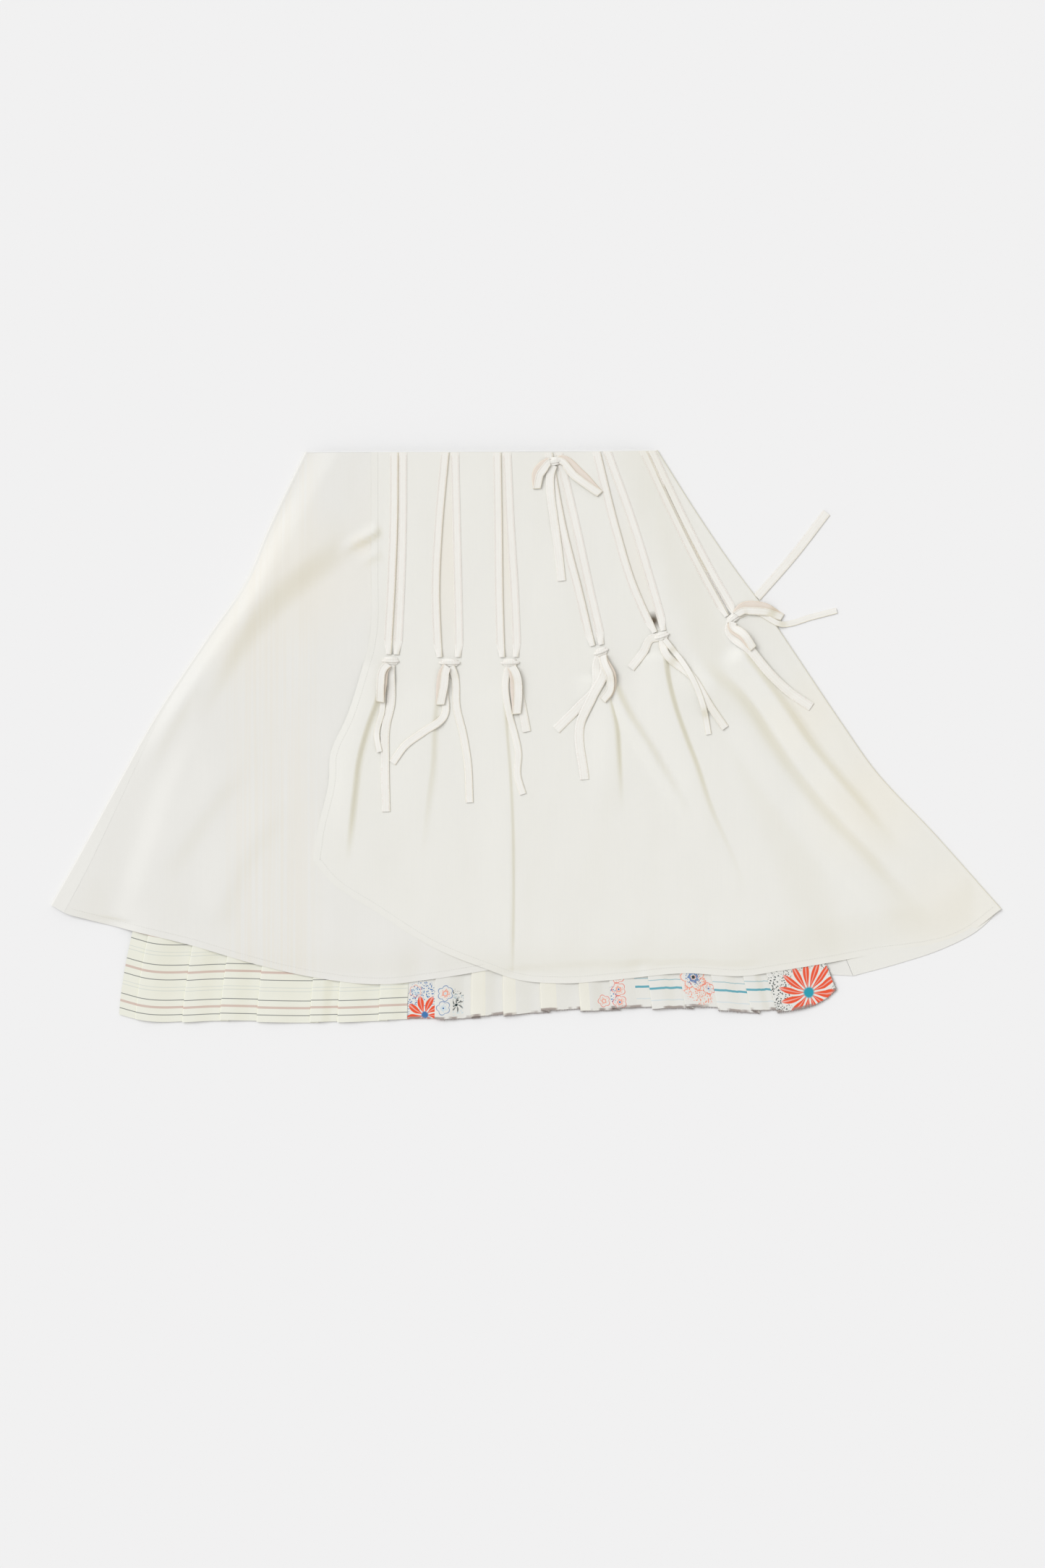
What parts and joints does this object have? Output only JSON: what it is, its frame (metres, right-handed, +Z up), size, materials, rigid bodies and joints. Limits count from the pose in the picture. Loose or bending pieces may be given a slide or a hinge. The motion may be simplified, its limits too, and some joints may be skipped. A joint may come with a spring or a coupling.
{
  "type": "wrap skirt laid flat over a pleated underskirt",
  "caption": "A-line wrap skirt laid flat, front up, with slits down from the waist tied by tapes, over a longer knife-pleated patchwork underskirt.",
  "frame": {"origin": "bottom centre of the bounding box of the whole part, on the surface that the skirt lies on", "axes": "+X along the hem, towards the viewer's right in the picture; +Y from the hem towards the waist; +Z up from the surface"},
  "size_m": [1.0356, 0.6242, 0.0212],
  "materials": {
    "ivory_cloth": "plain-woven ivory cotton and linen, matt",
    "twill_tape": "ivory cotton twill tape, matt",
    "striped_cloth": "pale cotton shirting with fine woven stripes",
    "printed_cloth": "thin grey cotton with cream bands and printed flowers"
  },
  "bodies": {
    "root": {"back_panel": "ivory_cloth", "back_tie": "twill_tape", "front_over_panel": "ivory_cloth", "front_under_panel": "ivory_cloth", "knot_1": "twill_tape", "knot_2": "twill_tape", "knot_3": "twill_tape", "knot_4": "twill_tape", "knot_5": "twill_tape", "knot_6": "twill_tape", "slit_tape_1_left": "twill_tape", "slit_tape_1_right": "twill_tape", "slit_tape_2_left": "twill_tape", "slit_tape_2_right": "twill_tape", "slit_tape_3_left": "twill_tape", "slit_tape_3_right": "twill_tape", "slit_tape_4_left": "twill_tape", "slit_tape_4_right": "twill_tape", "slit_tape_5_left": "twill_tape", "slit_tape_5_right": "twill_tape", "slit_tape_6_left": "twill_tape", "slit_tape_6_right": "twill_tape", "tie_loop_1": "twill_tape", "tie_loop_2": "twill_tape", "tie_loop_3": "twill_tape", "tie_loop_4": "twill_tape", "tie_loop_6_low": "twill_tape", "tie_loop_6_right": "twill_tape", "tie_tail_1_long": "twill_tape", "tie_tail_1_short": "twill_tape", "tie_tail_2_left": "twill_tape", "tie_tail_2_right": "twill_tape", "tie_tail_3_left": "twill_tape", "tie_tail_3_right": "twill_tape", "tie_tail_4_down": "twill_tape", "tie_tail_4_left": "twill_tape", "tie_tail_5_left": "twill_tape", "tie_tail_5_long": "twill_tape", "tie_tail_5_thin": "twill_tape", "tie_tail_6_long": "twill_tape", "tie_tail_6_right": "twill_tape", "underskirt_back": "striped_cloth", "underskirt_printed": "printed_cloth", "underskirt_striped": "striped_cloth", "waist_knot": "twill_tape", "waist_loop_left": "twill_tape", "waist_loop_right": "twill_tape", "waist_tail": "twill_tape"}
  },
  "joints": []
}
